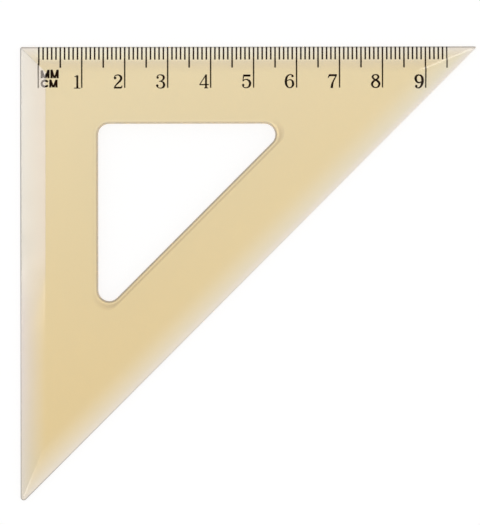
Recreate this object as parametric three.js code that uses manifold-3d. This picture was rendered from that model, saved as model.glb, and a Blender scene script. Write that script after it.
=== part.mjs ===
// Drafting triangle: a 45 degree set square moulded in clear amber plastic, with a scale in
// millimetres stamped in dark foil into its underside, so that it is read through the plastic.
//
// Millimetres. The origin is at the middle of the part's box, on the plane of the underside.
// +X runs along the graduated leg, from the right angle to the far tip.
// +Y points out of the graduated edge, and +Z points up from the underside.
//
// All outlines are drawn from the sharp right-angled corner: x along the graduated leg and
// y negative down the plain leg. One group at the end moves everything to the origin above.
import * as THREE from 'three';
import { mergeVertices } from 'three/addons/utils/BufferGeometryUtils.js';
import Module from 'manifold-3d';

const wasm = await Module();
wasm.setup();

// The marks of the scale, each as long as it is measured from the graduated edge
const markPitch = 1;
const lastMark = 95;
const marksPerHalf = 5;
const marksPerCentimetre = 10;
const markWidth = 0.38;
const millimetreMarkLength = 3.16;
const halfMarkLength = 5.07;
const centimetreMarkLength = 9.61;
const linkWidth = 0.08;

// The foil of a mark and the impression that it lies in
const foilThickness = 0.04;
const foilSink = 0.02;
const foilClearance = 0.02;
const impressionDepth = foilSink + foilThickness;

// The figures stand on a line just below the feet of the centimetre marks, and the hot foil spreads
// a little past the strokes that they are drawn with
const figureHeight = 3.2;
const figureDrop = 0.1;
const figureGap = 0.49;
const figureSpread = 0.04;
const figureBaseline = centimetreMarkLength + figureDrop;

// The unit letters fill the height between the foot of a half mark and their own line, twice. That
// line lies just above the feet of the centimetre marks
const letterRise = 0.1;
const letterInset = 0.58;
const letterGap = 0.2;
const letterLineGap = 0.32;
const letterTopClearance = 0.44;
const letterBaseline = centimetreMarkLength - letterRise;
const letterLines = ['CM', 'MM'];
const letterRoom = letterBaseline - halfMarkLength - letterTopClearance;
const letterHeight = (letterRoom - letterLineGap) / letterLines.length;

// The legs: the scale with its blank ends, of which the far one clears the hypotenuse
const zeroInset = 4.37;
const farEndClearance = 2.16;
const lastCentimetreReach = centimetreMarkLength - marksPerHalf * markPitch;
const farEndReserve = Math.max(halfMarkLength, lastCentimetreReach) + farEndClearance;
const legLength = zeroInset + lastMark * markPitch + farEndReserve;

// The blank: its frame is as wide as the band of the scale and a plain band beside it, but the
// window sits a hair off the middle, towards the graduated edge and away from the plain leg
const sheetThickness = 2;
const edgeThickness = 0.55;
const bevelWidth = 5.9;
const rightAngleRadius = 0.5;
const farTipRadius = 0.3;
const lowerTipRadius = 0.7;
const plainBandWidth = 8.39;
const frameWidth = figureBaseline + plainBandWidth;
const windowRadius = 2.54;
const windowShiftRight = 0.1;
const windowShiftUp = 0.2;
const rimWidth = 0.95;
const rimDepth = 0.3;

// How far a cut runs past the surface that it opens
const overrun = 1;

// Steps of a curve between two of its points, and round a corner
const strokeSteps = 3;
const ballSteps = 12;
const cornerSteps = 9;

// Finishes: clear amber plastic, and dark stamped foil
const amberPlastic = { color: '#e3d0a3', roughness: 0.12, metalness: 0, transparent: true, opacity: 0.75 };
const darkFoil = { color: '#2a2117', roughness: 0.45, metalness: 0 };

// The ten digits, drawn as pen strokes in shares of the figure height. A path is a list of
// [across, up, width of the stroke], a ring is a closed path that runs clockwise, and a ball is
// [across, up, radius]. A digit's gap to what is right of it is measured from its right share.
const digitRightShares = {
  0: 0.69, 1: 0.4, 2: 0.63, 3: 0.69, 4: 0.665, 5: 0.69, 6: 0.7, 7: 0.69, 8: 0.69, 9: 0.65,
};
const digitStrokeShares = {
  0: [
    {
      ring: [
        [0.345, 0.975, 0.05], [0.52, 0.87, 0.12], [0.6, 0.5, 0.145], [0.52, 0.13, 0.12],
        [0.345, 0.025, 0.05], [0.17, 0.13, 0.12], [0.085, 0.5, 0.145], [0.17, 0.87, 0.12],
      ],
    },
  ],
  1: [
    { path: [[0.23, 0.94, 0.12], [0.23, 0.03, 0.12]] },
    { path: [[0.04, 0.85, 0.035], [0.15, 0.88, 0.05], [0.25, 0.915, 0.07]] },
    { path: [[0.23, 0.12, 0.12], [0.23, 0.05, 0.15], [0.23, 0.01, 0.26]] },
    { path: [[0, 0.015, 0.035], [0.44, 0.015, 0.035]] },
  ],
  2: [
    { ball: [0.085, 0.745, 0.083] },
    {
      path: [
        [0.025, 0.76, 0.045], [0.07, 0.88, 0.05], [0.17, 0.95, 0.05], [0.29, 0.975, 0.06],
        [0.41, 0.93, 0.1], [0.51, 0.83, 0.145], [0.525, 0.7, 0.145], [0.47, 0.58, 0.13],
        [0.36, 0.45, 0.11], [0.225, 0.32, 0.085], [0.1, 0.175, 0.065], [0.03, 0.035, 0.045],
      ],
    },
    { path: [[0.01, 0.045, 0.105], [0.52, 0.045, 0.105]] },
    { path: [[0.49, 0.045, 0.105], [0.565, 0.1, 0.07], [0.585, 0.2, 0.03]] },
  ],
  3: [
    { ball: [0.115, 0.78, 0.074] },
    {
      path: [
        [0.065, 0.8, 0.045], [0.12, 0.92, 0.045], [0.25, 0.975, 0.045], [0.39, 0.965, 0.065],
        [0.51, 0.905, 0.115], [0.56, 0.8, 0.14], [0.53, 0.67, 0.115], [0.44, 0.57, 0.07],
        [0.32, 0.515, 0.045], [0.22, 0.505, 0.035],
      ],
    },
    {
      path: [
        [0.3, 0.515, 0.045], [0.44, 0.475, 0.07], [0.55, 0.375, 0.125], [0.585, 0.235, 0.145],
        [0.53, 0.095, 0.125], [0.42, 0.025, 0.07], [0.29, 0.015, 0.045], [0.16, 0.045, 0.045],
        [0.06, 0.13, 0.045],
      ],
    },
    { ball: [0.085, 0.19, 0.082] },
  ],
  4: [
    { path: [[0.475, 0.95, 0.06], [0.25, 0.625, 0.045], [0.04, 0.285, 0.045]] },
    { path: [[0.01, 0.26, 0.065], [0.665, 0.26, 0.065]] },
    { path: [[0.48, 0.985, 0.115], [0.48, 0.02, 0.115]] },
    { path: [[0.48, 0.12, 0.115], [0.48, 0.06, 0.13], [0.48, 0.02, 0.18]] },
    { path: [[0.36, 0.02, 0.04], [0.62, 0.02, 0.04]] },
  ],
  5: [
    { path: [[0.09, 0.915, 0.13], [0.6, 0.915, 0.13]] },
    { path: [[0.105, 0.9, 0.05], [0.07, 0.51, 0.055]] },
    {
      path: [
        [0.07, 0.53, 0.04], [0.175, 0.605, 0.045], [0.305, 0.635, 0.06], [0.455, 0.585, 0.1],
        [0.56, 0.47, 0.14], [0.585, 0.32, 0.148], [0.535, 0.16, 0.125], [0.43, 0.06, 0.07],
        [0.29, 0.025, 0.05], [0.15, 0.06, 0.05], [0.05, 0.15, 0.05],
      ],
    },
    { ball: [0.085, 0.225, 0.078] },
  ],
  6: [
    { ball: [0.56, 0.875, 0.078] },
    {
      path: [
        [0.56, 0.94, 0.04], [0.465, 0.98, 0.047], [0.355, 0.975, 0.06], [0.215, 0.905, 0.095],
        [0.115, 0.74, 0.14], [0.073, 0.515, 0.145], [0.1, 0.275, 0.14], [0.205, 0.09, 0.09],
        [0.355, 0.025, 0.05], [0.5, 0.085, 0.085], [0.595, 0.245, 0.145], [0.585, 0.43, 0.14],
        [0.51, 0.56, 0.09], [0.375, 0.615, 0.05],
      ],
    },
    { path: [[0.4, 0.615, 0.05], [0.23, 0.575, 0.045], [0.11, 0.47, 0.04]] },
  ],
  7: [
    { path: [[0.07, 0.93, 0.13], [0.635, 0.935, 0.125]] },
    { path: [[0.025, 0.745, 0.035], [0.06, 0.84, 0.065], [0.1, 0.92, 0.09]] },
    {
      path: [
        [0.605, 0.91, 0.06], [0.51, 0.73, 0.065], [0.4, 0.52, 0.085], [0.32, 0.305, 0.125],
        [0.275, 0.01, 0.16],
      ],
    },
  ],
  8: [
    {
      ring: [
        [0.335, 0.975, 0.05], [0.48, 0.925, 0.1], [0.545, 0.81, 0.125], [0.48, 0.68, 0.1],
        [0.34, 0.59, 0.11], [0.19, 0.68, 0.11], [0.12, 0.81, 0.12], [0.19, 0.925, 0.09],
      ],
    },
    {
      ring: [
        [0.34, 0.57, 0.11], [0.53, 0.465, 0.14], [0.615, 0.29, 0.14], [0.53, 0.1, 0.1],
        [0.345, 0.025, 0.05], [0.16, 0.1, 0.1], [0.075, 0.28, 0.14], [0.16, 0.455, 0.13],
      ],
    },
  ],
  9: [
    {
      path: [
        [0.53, 0.5, 0.06], [0.42, 0.435, 0.07], [0.275, 0.415, 0.09], [0.14, 0.49, 0.12],
        [0.07, 0.64, 0.16], [0.07, 0.79, 0.16], [0.16, 0.935, 0.105], [0.31, 0.975, 0.06],
      ],
    },
    {
      path: [
        [0.28, 0.975, 0.06], [0.435, 0.93, 0.11], [0.535, 0.785, 0.16], [0.57, 0.57, 0.17],
        [0.535, 0.335, 0.16], [0.435, 0.125, 0.115], [0.29, 0.03, 0.07], [0.15, 0.045, 0.06],
        [0.065, 0.1, 0.05],
      ],
    },
    { ball: [0.105, 0.165, 0.083] },
  ],
};

// The unit letters, plain block capitals, in shares of the letter height
const letterWidthShares = { M: 1.05, C: 0.9 };
const letterStrokeShares = {
  M: [
    { path: [[0.14, 0, 0.28], [0.14, 1, 0.28]] },
    { path: [[0.91, 0, 0.28], [0.91, 1, 0.28]] },
    { path: [[0.12, 1.05, 0.26], [0.505, 0.02, 0.24]] },
    { path: [[0.93, 1.05, 0.26], [0.545, 0.02, 0.24]] },
  ],
  C: [
    {
      path: [
        [0.82, 0.7, 0.25], [0.68, 0.84, 0.25], [0.47, 0.88, 0.25], [0.24, 0.77, 0.26],
        [0.13, 0.5, 0.26], [0.24, 0.23, 0.26], [0.47, 0.12, 0.25], [0.68, 0.16, 0.25],
        [0.82, 0.3, 0.25],
      ],
    },
  ],
};

// Solids

/** Turns a closed three.js geometry into a solid that can be joined and cut. */
function solidFrom(geometry) {
  geometry.deleteAttribute('normal');
  geometry.deleteAttribute('uv');
  const merged = mergeVertices(geometry);
  const vertProperties = new Float32Array(merged.attributes.position.array);
  const triVerts = new Uint32Array(merged.index.array);
  return new wasm.Manifold(new wasm.Mesh({ numProp: 3, vertProperties, triVerts }));
}

/** Turns a solid back into a three.js geometry with flat faces. */
function geometryFrom(solid) {
  const mesh = solid.getMesh();
  const geometry = new THREE.BufferGeometry();
  geometry.setAttribute('position', new THREE.BufferAttribute(mesh.vertProperties, 3));
  geometry.setIndex(new THREE.BufferAttribute(mesh.triVerts, 1));
  return geometry;
}

/** A flat shape carried straight up from one height to another. */
function slab(shape, bottom, top) {
  const geometry = new THREE.ExtrudeGeometry(shape, { depth: top - bottom, bevelEnabled: false });
  geometry.translate(0, 0, bottom);
  return solidFrom(geometry);
}

/** A solid between two convex loops that have the same number of points, at two heights. */
function loft(lowerLoop, lowerHeight, upperLoop, upperHeight) {
  const count = lowerLoop.length;
  const positions = [];
  lowerLoop.forEach((point) => positions.push(point.x, point.y, lowerHeight));
  upperLoop.forEach((point) => positions.push(point.x, point.y, upperHeight));
  const indices = [];
  for (let i = 0; i < count; i += 1) {
    const next = (i + 1) % count;
    indices.push(i, next, count + next);
    indices.push(i, count + next, count + i);
  }
  for (let i = 1; i < count - 1; i += 1) {
    indices.push(0, i + 1, i);
    indices.push(count, count + i, count + i + 1);
  }
  const geometry = new THREE.BufferGeometry();
  geometry.setAttribute('position', new THREE.Float32BufferAttribute(positions, 3));
  geometry.setIndex(indices);
  return solidFrom(geometry);
}

const joined = (solids) => solids.reduce((whole, solid) => whole.add(solid));

// Outlines of the blank

/** The corners of the triangle, counter-clockwise, with every side moved inwards alike. */
function triangleCorners(inset) {
  const reach = legLength - inset * (1 + Math.SQRT2);
  return [
    new THREE.Vector2(inset, -inset),
    new THREE.Vector2(inset, -reach),
    new THREE.Vector2(reach, -inset),
  ];
}

/** The same triangle with an arc at each corner, as a loop of points. */
function roundedTriangle(inset, [rightAngle, lowerTip, farTip]) {
  const quarter = Math.PI / 2;
  const [corner, lower, far] = triangleCorners(inset);
  const reach = 1 / Math.tan(Math.PI / 8);
  const path = new THREE.Path();
  path.absarc(corner.x + rightAngle, corner.y - rightAngle, rightAngle, quarter, 2 * quarter);
  path.absarc(lower.x + lowerTip, lower.y + reach * lowerTip, lowerTip, 2 * quarter, 3.5 * quarter);
  path.absarc(far.x - reach * farTip, far.y - farTip, farTip, 3.5 * quarter, 5 * quarter);
  const points = path.getPoints(cornerSteps);
  return points.filter((point, i) => i === 0 || point.distanceTo(points[i - 1]) > 0);
}

// The blank, before the scale is stamped into it

/** The outline carried up, topped by a low pyramid whose slopes are the three bevels. */
function bevelledTriangle() {
  const outline = roundedTriangle(0, [rightAngleRadius, lowerTipRadius, farTipRadius]);
  const wall = slab(new THREE.Shape(outline), 0, sheetThickness + overrun);
  const run = bevelWidth / (sheetThickness - edgeThickness);
  const lowest = triangleCorners(-run * (edgeThickness + overrun));
  const pyramid = loft(lowest, -overrun, triangleCorners(bevelWidth), sheetThickness);
  return wall.intersect(pyramid);
}

/** The window's outline, widened on every side by a flare. */
function windowLoop(flare) {
  const radius = windowRadius + flare;
  const loop = roundedTriangle(frameWidth - flare, [radius, radius, radius]);
  const shift = new THREE.Vector2(windowShiftRight, windowShiftUp);
  return loop.map((point) => point.clone().add(shift));
}

/** The window's walls and the chamfer round its upper rim. */
function windowCutter() {
  const opening = windowLoop(0);
  const cutter = slab(new THREE.Shape(opening), -overrun, sheetThickness + overrun);
  const wide = windowLoop(rimWidth * (rimDepth + overrun) / rimDepth);
  return cutter.add(loft(opening, sheetThickness - rimDepth, wide, sheetThickness + overrun));
}

// Strokes of the figures and letters

/** The two sides of a stroke: its centre line moved left and right by half its width. */
function strokeSides(points, closed, grow) {
  const curve = new THREE.CatmullRomCurve3(points, closed, 'centripetal');
  const spans = closed ? points.length : points.length - 1;
  const steps = spans * (points.length === 2 ? 1 : strokeSteps);
  const samples = curve.getPoints(steps);
  if (closed) samples.pop();
  const count = samples.length;
  const left = [];
  const right = [];
  samples.forEach((sample, i) => {
    const before = closed ? samples[(i + count - 1) % count] : samples[Math.max(i - 1, 0)];
    const after = closed ? samples[(i + 1) % count] : samples[Math.min(i + 1, count - 1)];
    const along = new THREE.Vector2(after.x - before.x, after.y - before.y).normalize();
    const centre = new THREE.Vector2(sample.x, sample.y);
    if (!closed && i === 0) centre.addScaledVector(along, -grow);
    if (!closed && i === count - 1) centre.addScaledVector(along, grow);
    const normal = new THREE.Vector2(-along.y, along.x);
    const reach = sample.z / 2 + grow;
    left.push(centre.clone().addScaledVector(normal, reach));
    right.push(centre.clone().addScaledVector(normal, -reach));
  });
  return [left, right];
}

/** One stroke as a flat shape, with its lower left corner at the given point. */
function strokeShape({ path, ring, ball }, scale, corner, grow) {
  const placed = ([across, up, width]) => new THREE.Vector3(
    corner.x + across * scale,
    corner.y + up * scale,
    width * scale,
  );
  if (ball) {
    const centre = placed(ball);
    const circle = new THREE.Path();
    circle.absarc(centre.x, centre.y, centre.z + grow, 0, 2 * Math.PI);
    return new THREE.Shape(circle.getPoints(ballSteps).slice(0, -1));
  }
  if (path) {
    const [left, right] = strokeSides(path.map(placed), false, grow);
    return new THREE.Shape([...left, ...right.reverse()]);
  }
  // A ring's points run clockwise, so its left side is the outer one, and the hole runs back
  const [outer, inner] = strokeSides(ring.map(placed), true, grow);
  const shape = new THREE.Shape(outer);
  shape.holes.push(new THREE.Path(inner.reverse()));
  return shape;
}

// The marks. A mark's foil and the impression that holds it come from one outline. A fit says how
// far that outline grows, how far the marks on the edge run out, and the heights between.
const foilFit = {
  grow: 0,
  front: -foilClearance,
  bottom: impressionDepth - foilThickness,
  top: impressionDepth,
};
const impressionFit = {
  grow: foilClearance,
  front: overrun,
  bottom: -overrun,
  top: impressionDepth,
};

const markPlace = (number) => zeroInset + number * markPitch;

/** A run of straight marks, joined by a hair of foil that lies along the graduated edge. */
function markRun(first, last, length, { grow, front, bottom, top }) {
  const half = markWidth / 2 + grow;
  const foot = -length - grow;
  const link = -foilClearance - linkWidth - grow;
  const outline = [
    new THREE.Vector2(markPlace(last) + half, front),
    new THREE.Vector2(markPlace(first) - half, front),
  ];
  for (let number = first; number <= last; number += 1) {
    const place = markPlace(number);
    if (number > first) outline.push(new THREE.Vector2(place - half, link));
    outline.push(new THREE.Vector2(place - half, foot));
    outline.push(new THREE.Vector2(place + half, foot));
    if (number < last) outline.push(new THREE.Vector2(place + half, link));
  }
  return slab(new THREE.Shape(outline), bottom, top);
}

/** The strokes of a figure or letter, joined into one solid. */
function strokesSolid(strokeShares, scale, corner, { grow, bottom, top }) {
  return joined(strokeShares.map((stroke) => (
    slab(strokeShape(stroke, scale, corner, grow), bottom, top)
  )));
}

/** One digit of a figure, with the left edge of its drawn strokes at the given place. */
function figureDigit(digit, left, fit) {
  const corner = new THREE.Vector2(left, -figureBaseline);
  const spread = { ...fit, grow: fit.grow + figureSpread };
  return strokesSolid(digitStrokeShares[digit], figureHeight, corner, spread);
}

/** A unit letter, trimmed to its box so that its strokes end square. */
function unitLetter(letter, left, baseline, fit) {
  const corner = new THREE.Vector2(left, baseline);
  const strokes = strokesSolid(letterStrokeShares[letter], letterHeight, corner, fit);
  const right = left + letterWidthShares[letter] * letterHeight;
  const frame = new THREE.Shape([
    new THREE.Vector2(left - fit.grow, baseline - fit.grow),
    new THREE.Vector2(right + fit.grow, baseline - fit.grow),
    new THREE.Vector2(right + fit.grow, baseline + letterHeight + fit.grow),
    new THREE.Vector2(left - fit.grow, baseline + letterHeight + fit.grow),
  ]);
  return strokes.intersect(slab(frame, fit.bottom, fit.top));
}

// The foil marks by name, and the impressions that hold them
const foils = new Map();
const impressions = [];

/** Stamps one mark: its foil lies against the roof of its impression. */
function stamp(name, solidAt) {
  foils.set(name, solidAt(foilFit));
  impressions.push(solidAt(impressionFit));
}

for (let number = 0; number <= lastMark; number += marksPerCentimetre) {
  const name = `centimetre_mark_${number / marksPerCentimetre}`;
  stamp(name, (fit) => markRun(number, number, centimetreMarkLength, fit));
}
for (let number = marksPerHalf; number <= lastMark; number += marksPerCentimetre) {
  const name = `half_centimetre_mark_${number}`;
  stamp(name, (fit) => markRun(number, number, halfMarkLength, fit));
}
for (let first = 1; first <= lastMark; first += marksPerHalf) {
  const last = Math.min(first + marksPerHalf - 2, lastMark);
  const name = `millimetre_marks_${first}_to_${last}`;
  stamp(name, (fit) => markRun(first, last, millimetreMarkLength, fit));
}
// A figure stands just left of its centimetre mark, and its digits are a letter's gap apart
for (let number = 1; number * marksPerCentimetre <= lastMark; number += 1) {
  const digits = [...String(number)];
  let right = markPlace(number * marksPerCentimetre) - figureGap;
  for (let place = digits.length; place > 0; place -= 1) {
    const digit = digits[place - 1];
    const name = digits.length > 1 ? `numeral_${number}_digit_${place}` : `numeral_${number}`;
    const left = right - digitRightShares[digit] * figureHeight;
    stamp(name, (fit) => figureDigit(digit, left, fit));
    right = left - letterGap;
  }
}
letterLines.forEach((line, lineNumber) => {
  const baseline = -letterBaseline + lineNumber * (letterHeight + letterLineGap);
  let left = zeroInset + letterInset;
  [...line].forEach((letter, place) => {
    const name = `unit_${line.toLowerCase()}_letter_${place + 1}`;
    const start = left;
    stamp(name, (fit) => unitLetter(letter, start, baseline, fit));
    left += letterWidthShares[letter] * letterHeight + letterGap;
  });
});

// The finished part
const triangle = new THREE.Group();

function addPiece(name, solid, finish) {
  const mesh = new THREE.Mesh(geometryFrom(solid), new THREE.MeshStandardMaterial(finish));
  mesh.name = name;
  triangle.add(mesh);
}

const blank = bevelledTriangle().subtract(windowCutter()).subtract(joined(impressions));
addPiece('moulded_blank', blank, amberPlastic);
foils.forEach((solid, name) => addPiece(name, solid, darkFoil));

const middle = new THREE.Box3().setFromObject(triangle).getCenter(new THREE.Vector3());
triangle.position.set(-middle.x, -middle.y, 0);

export default triangle;
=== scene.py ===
# %% [markdown]
# A drafting triangle in clear amber plastic
#
# This lesson dresses a 45 degree set square: one moulding of clear amber plastic with three
# bevelled edges and a triangular window, and a millimetre scale of dark foil stamped into its
# underside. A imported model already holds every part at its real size. It is loaded first, as a
# fixed frame, and every new surface is worked out from it, so nothing has to be fitted afterwards.
#
# The cells are read from top to bottom. Text says what a step is for, and a titled cell does it
# and prints what it made or measured.

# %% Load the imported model
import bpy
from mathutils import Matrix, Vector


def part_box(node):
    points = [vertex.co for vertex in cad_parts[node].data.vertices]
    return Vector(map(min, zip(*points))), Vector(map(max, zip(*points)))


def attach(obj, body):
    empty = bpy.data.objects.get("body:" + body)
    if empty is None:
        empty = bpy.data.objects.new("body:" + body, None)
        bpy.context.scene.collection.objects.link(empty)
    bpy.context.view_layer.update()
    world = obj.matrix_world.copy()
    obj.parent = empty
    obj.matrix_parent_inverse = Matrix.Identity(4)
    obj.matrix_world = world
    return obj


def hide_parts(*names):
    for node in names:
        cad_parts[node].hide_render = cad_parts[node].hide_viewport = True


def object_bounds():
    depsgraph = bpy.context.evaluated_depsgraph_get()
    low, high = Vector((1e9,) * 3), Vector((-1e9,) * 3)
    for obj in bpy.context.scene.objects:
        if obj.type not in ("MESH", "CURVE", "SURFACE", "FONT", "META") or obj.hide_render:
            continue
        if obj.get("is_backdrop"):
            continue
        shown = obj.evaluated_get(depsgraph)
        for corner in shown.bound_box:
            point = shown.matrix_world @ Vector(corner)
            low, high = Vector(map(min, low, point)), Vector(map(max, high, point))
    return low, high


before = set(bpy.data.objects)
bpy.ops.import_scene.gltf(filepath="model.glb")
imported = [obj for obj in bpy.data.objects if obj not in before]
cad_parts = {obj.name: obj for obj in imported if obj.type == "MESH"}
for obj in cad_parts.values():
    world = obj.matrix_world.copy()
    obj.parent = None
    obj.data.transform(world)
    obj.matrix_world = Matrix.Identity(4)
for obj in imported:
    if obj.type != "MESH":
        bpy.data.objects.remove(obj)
cad_low, cad_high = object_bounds()
print("nodes:", len(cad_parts))
print("size of the part, mm:", [round(side * 1000, 2) for side in cad_high - cad_low])

import bpy
import numpy as np
from mathutils import Vector

# %% [markdown]
# Units
#
# Blender works in metres, but a person who makes a set square thinks in millimetres. So each size
# below is written in millimetres, and is turned into metres only where a mesh, a lamp or a pattern
# needs it.

# %% One millimetre, in Blender's metres
millimetre = 0.001
print("one millimetre in metres:", millimetre)

# %% [markdown]
# The camera
#
# The picture looks straight down on the triangle. Its own scale says how large it is: the marks
# lie 4.294 pixels apart, so a pixel is 0.233 mm. A long lens far away keeps the walls of the
# window from leaning, as a catalogue picture does. The camera is placed so that the zero mark
# falls on its own pixel, and is rolled by the small angle at which the graduated edge climbs.
#
# The lens follows from the scale. Its focal length is to the sensor's width as the distance is to
# the length that the picture's longer side shows.

# %% What the picture shows of the scale
picture_size = np.array([480, 525])
pixels_per_millimetre = 4.2941
zero_mark_pixel = np.array([38.355, 46.34])
edge_climb = 0.0014
camera_distance = 1200
print("view, mm:", picture_size / pixels_per_millimetre)


# %% Place the camera by the zero mark
def zero_mark_end():
    """Where the zero mark's middle line meets the graduated edge, in millimetres."""
    low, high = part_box("centimetre_mark_0")
    return np.array([(low.x + high.x) / 2, cad_high.y]) / millimetre


def camera_place():
    """The point under the middle of the picture: the zero mark's end, less the mark's offset from
    that middle, which is its pixels over the scale, turned by the roll."""
    middle_pixel = (picture_size - 1) / 2
    across, down = (zero_mark_pixel - middle_pixel) / pixels_per_millimetre
    right = np.array([np.cos(edge_climb), -np.sin(edge_climb)])
    up = np.array([np.sin(edge_climb), np.cos(edge_climb)])
    return zero_mark_end() - right * across + up * down


camera_data = bpy.data.cameras.new("camera")
camera = bpy.data.objects.new("camera", camera_data)
bpy.context.scene.collection.objects.link(camera)
place = camera_place()
camera.location = Vector((place[0], place[1], camera_distance)) * millimetre
camera.rotation_euler = (0, 0, -edge_climb)
shown_length = picture_size.max() / pixels_per_millimetre
camera_data.lens = camera_data.sensor_width * camera_distance / shown_length
camera_data.clip_start = 0.01
camera_data.clip_end = 10
bpy.context.scene.camera = camera
print("camera over, mm:", place.round(2), "lens, mm:", round(camera_data.lens, 1))

# %% [markdown]
# The blank
#
# The real blank is one injection moulding. Its edges are bevelled, so that the scale lies close
# to the paper, and its walls lean a few degrees, so that it leaves the mould. No edge of a
# moulding is quite sharp. A box with cut corners would miss all of this, and clear plastic shows
# it: a rounded edge or a leaning wall bends what lies behind it into a thin dark or light line.
#
# So the whole skin is one grid. One parameter walks round the triangle, the other walks round the
# section: up the window's wall, over its chamfer, across the flat, down the bevel, down the outer
# wall and back underneath. Both close on themselves, so the skin has no seam and no hole.

# %% Sizes of the blank
blank_low, blank_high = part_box("moulded_blank")
sheet_thickness = (blank_high.z - blank_low.z) / millimetre
right_angle_radius = 0.5
lower_tip_radius = 0.7
far_tip_radius = 0.3
# In a 45 degree tip, a rounding starts this many radii from where the sides would meet
tip_reach = 1 / np.tan(np.pi / 8)
leg_length = (blank_high.x - blank_low.x) / millimetre + far_tip_radius * (tip_reach - 1)
print("leg to its sharp corner, mm:", round(leg_length, 2))

# %% Sizes of the section
# The bevels and the leaning outer wall below them
edge_thickness = 0.55
bevel_width = 5.9
edge_lean = 0.12
bevel_slope = (sheet_thickness - edge_thickness) / bevel_width
# The frame round the window, with the window's leaning wall and its chamfer
frame_width = 18.095
window_radius = 2.54
window_lean = 0.3
rim_width = 0.95
rim_depth = 0.3
# The roundings: the ridge between two bevels, the bevel's edge, the chamfer, and the walls' feet
ridge_radius = 0.25
outer_fillet = 0.2
rim_fillet = 0.12
foot_fillet = 0.03
fillet_steps = 5
print("slope of the bevels, degrees:", np.degrees(np.arctan(bevel_slope)).round(1))

# %% [markdown]
# Round the triangle
#
# The first parameter walks round a triangle with round corners. Moving each side inwards by the
# same amount gives the next triangle, so its corners lie on the mitres. All triangles have the
# same number of points, which is what lets a grid join them.

# %% A round-cornered triangle for each inset
arc_steps = 10
side_steps = 48


def rounded_triangles(insets, radii):
    """Points (rows, around, 2) of one triangle for each inset. A corner is an arc, centre + radius
    times (cos, sin). A side is a straight walk from one arc's end to the next arc's start, with
    its points drawn towards both ends by a smooth step, 3 s squared less 2 s cubed."""
    insets = np.asarray(insets, float)[:, None]
    reach = leg_length - insets * (1 + np.sqrt(2))
    right_angle, lower_tip, far_tip = (radii[:, i:i + 1] for i in range(3))
    centres = [
        (insets + right_angle, -insets - right_angle),
        (insets + lower_tip, tip_reach * lower_tip - reach),
        (reach - tip_reach * far_tip, -insets - far_tip),
    ]
    turns = np.radians([[90, 180], [180, 315], [315, 450]])
    arcs = []
    for (x, y), radius, (start, end) in zip(centres, (right_angle, lower_tip, far_tip), turns):
        angle = np.linspace(start, end, arc_steps)[None, :]
        arcs.append(np.stack([x + radius * np.cos(angle), y + radius * np.sin(angle)], axis=2))
    share = np.linspace(0, 1, side_steps + 2)[1:-1]
    share = (share * share * (3 - 2 * share))[None, :, None]
    rows = []
    for arc, following in zip(arcs, arcs[1:] + arcs[:1]):
        start, end = arc[:, -1:], following[:, :1]
        rows += [arc, start + (end - start) * share]
    return np.concatenate(rows, axis=1)


print("points in each triangle:", 3 * (arc_steps + side_steps))


# %% [markdown]
# The three sides of a set square aren't alike. So a size that changes from side to side is given
# as one value for each point around, and a mask picks out a side.

# %% Values that follow the outline
def along_the_outline(plain_leg, hypotenuse, graduated_leg):
    """One value for each point around. Each side has a first and a last value, and runs straight
    from one to the other. Round each corner, a cosine leads from one side to the next."""
    sides = [plain_leg, hypotenuse, graduated_leg]
    blend = (1 - np.cos(np.linspace(0, np.pi, arc_steps))) / 2
    pieces = []
    for (_, before), (first, last) in zip(sides[-1:] + sides[:-1], sides):
        pieces += [before + (first - before) * blend, np.linspace(first, last, side_steps)]
    return np.concatenate(pieces)


def side_mask(side):
    """1 along one of the three sides, and 0 along the others."""
    return along_the_outline(*((float(side == i), float(side == i)) for i in range(3)))


# %% [markdown]
# The creases
#
# The crease where a bevel meets the flat is crisp along the two legs and soft along the
# hypotenuse, as the light on it shows. A Bevel modifier has one width for all, so the height
# comes from a formula instead, which knows which side it is on. The plain bevel is also a hair
# wider at the scale's end.

# %% How soft the crease is on each side, and where it lies
crisp_crease = 0.16
soft_crease = 1.3
crease_reach = soft_crease
widening_at_the_scale = 0.2
crease_softness = along_the_outline(
    (crisp_crease, crisp_crease), (soft_crease, soft_crease), (crisp_crease, crisp_crease)
)
crease_inset = bevel_width + along_the_outline((widening_at_the_scale, 0), (0, 0), (0, 0))
print("half width of the crease, mm:", crease_softness.min(), "to", crease_softness.max())
print("inset of the crease, mm:", crease_inset.min(), "to", crease_inset.max())


# %% The height of the upper face
def bevelled_height(insets):
    """Height of the upper face, (rows, around). The drop below the flat is the slope times the
    distance outside the crease. Within the crease's half width w, that distance x is replaced by
    the parabola (x + w) squared over 4 w, which meets the flat and the slope without a kink. A
    wider bevel is less steep, so that all of them end at the same edge."""
    distance = (crease_inset - np.asarray(insets, float)[:, None]) * bevel_width / crease_inset
    width = crease_softness[None, :]
    near = np.clip(distance + width, 0, 2 * width)
    drop = near * near / (4 * width) + np.maximum(distance - width, 0)
    return sheet_thickness - bevel_slope * drop


# %% The radius of the corners
def corner_radii(insets):
    """Radius of the three corners at each inset: the outline's own radius shrinks with the inset
    to the ridge's, and grows over the flat to the round corner of the window."""
    flat_start, flat_end = bevel_width + crease_reach, frame_width - rim_width
    columns = []
    for radius in (right_angle_radius, lower_tip_radius, far_tip_radius):
        places = [0, radius - ridge_radius, flat_start, flat_end, frame_width]
        sizes = [radius, ridge_radius, ridge_radius, window_radius + rim_width, window_radius]
        columns.append(np.interp(insets, places, sizes))
    return np.stack(columns, axis=1)


# %% [markdown]
# Round the section
#
# The second parameter walks round the section. Its two walls are lists of corners in the plane of
# inset and height, and each corner gets a small arc. The flat and the bevel lie between them, and
# the underside closes the ring.

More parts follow.
